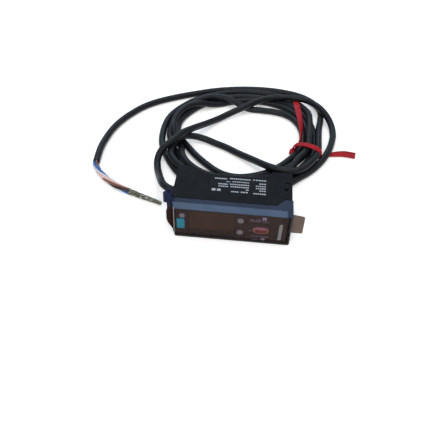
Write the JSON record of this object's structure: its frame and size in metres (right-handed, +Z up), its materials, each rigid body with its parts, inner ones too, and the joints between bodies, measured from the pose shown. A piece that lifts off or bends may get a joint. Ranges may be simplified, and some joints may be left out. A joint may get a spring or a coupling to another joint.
{
  "type": "fibre optic sensor amplifier",
  "caption": "Slim rail-mounted fibre optic sensor amplifier with a hinged see-through dust cover over its keys and display, a fibre clamp lever and a tied coil of cable.",
  "frame": {"origin": "on the surface that the case lies on, under the middle of the amplifier without its cord", "axes": "+X from the cable end to the fibre end, -Y is the way the key panel faces, +Z up through the case's thickness"},
  "size_m": [0.1651, 0.1571, 0.0205],
  "materials": {
    "case_plastic": "satin",
    "panel_plastic": "satin",
    "smoked_window": "gloss",
    "display_plastic": "gloss",
    "circuit_board": "satin",
    "switch_metal": "satin",
    "lens_orange": "gloss",
    "led_white": "gloss",
    "connector_plastic": "satin",
    "chip_plastic": "matte",
    "capacitor_can": "satin",
    "block_plastic": "satin",
    "emitter_red": "gloss",
    "receiver_dark": "gloss",
    "cable_sheath": "satin",
    "label_print": "satin",
    "smoked_cover": "gloss",
    "key_teal": "gloss",
    "key_grey": "satin",
    "tie_red": "satin",
    "core_brown": "satin",
    "core_blue": "satin",
    "core_black": "satin",
    "core_white": "satin",
    "core_pink": "satin",
    "tinned_wire": "satin"
  },
  "bodies": {
    "amplifier": {"main_case": "case_plastic", "front_panel": "panel_plastic", "display_window": "smoked_window", "digit_display": "display_plastic", "display_board": "circuit_board", "key_switches": "switch_metal", "indicator_lens": "lens_orange", "indicator_leds": "led_white", "main_board": "circuit_board", "board_header": "connector_plastic", "controller_chip": "chip_plastic", "power_capacitors": "capacitor_can", "output_transistors": "chip_plastic", "optical_block": "block_plastic", "emitter_led": "emitter_red", "receiver_diode": "receiver_dark", "cable_bushing": "cable_sheath", "inner_lead": "cable_sheath", "inner_cores": "core_brown", "rating_label": "label_print", "cable_exit": "cable_sheath", "cable_coil": "cable_sheath", "cable_rise": "cable_sheath", "cable_diagonal": "cable_sheath", "cable_lower_run": "cable_sheath", "cable_high_turn": "cable_sheath", "cable_far_turn": "cable_sheath", "cable_outer_loop": "cable_sheath", "cable_tail": "cable_sheath", "cable_tie": "tie_red", "core_brown": "core_brown", "core_blue": "core_blue", "core_black": "core_black", "core_white": "core_white", "core_pink": "core_pink", "tinned_ends": "tinned_wire"},
    "cover": {"dust_cover": "smoked_cover"},
    "set_key": {"set_button": "key_teal"},
    "preset_key": {"preset_button": "key_grey"},
    "up_key": {"up_button": "key_grey"},
    "down_key": {"down_button": "key_grey"},
    "lever": {"fibre_lever": "case_plastic"}
  },
  "joints": [
    {"name": "cover_hinge", "type": "hinge", "parent": "amplifier", "child": "cover", "pos_m": [-0.035, -0.0052, 0.01025], "axis": [0, 0, -1], "range_deg": [0, 120]},
    {"name": "set_press", "type": "slide", "parent": "amplifier", "child": "set_key", "axis": [0, 1, 0], "range_m": [0, 0.00035], "stiffness_N_per_m": 500},
    {"name": "preset_press", "type": "slide", "parent": "amplifier", "child": "preset_key", "axis": [0, 1, 0], "range_m": [0, 0.00035], "stiffness_N_per_m": 500},
    {"name": "up_press", "type": "slide", "parent": "amplifier", "child": "up_key", "axis": [0, 1, 0], "range_m": [0, 0.00035], "stiffness_N_per_m": 500},
    {"name": "down_press", "type": "slide", "parent": "amplifier", "child": "down_key", "axis": [0, 1, 0], "range_m": [0, 0.00035], "stiffness_N_per_m": 500},
    {"name": "lever_pivot", "type": "hinge", "parent": "amplifier", "child": "lever", "pos_m": [0.0279, 0.0037, 0.01025], "axis": [0, 0, 1], "range_deg": [0, 75]}
  ]
}
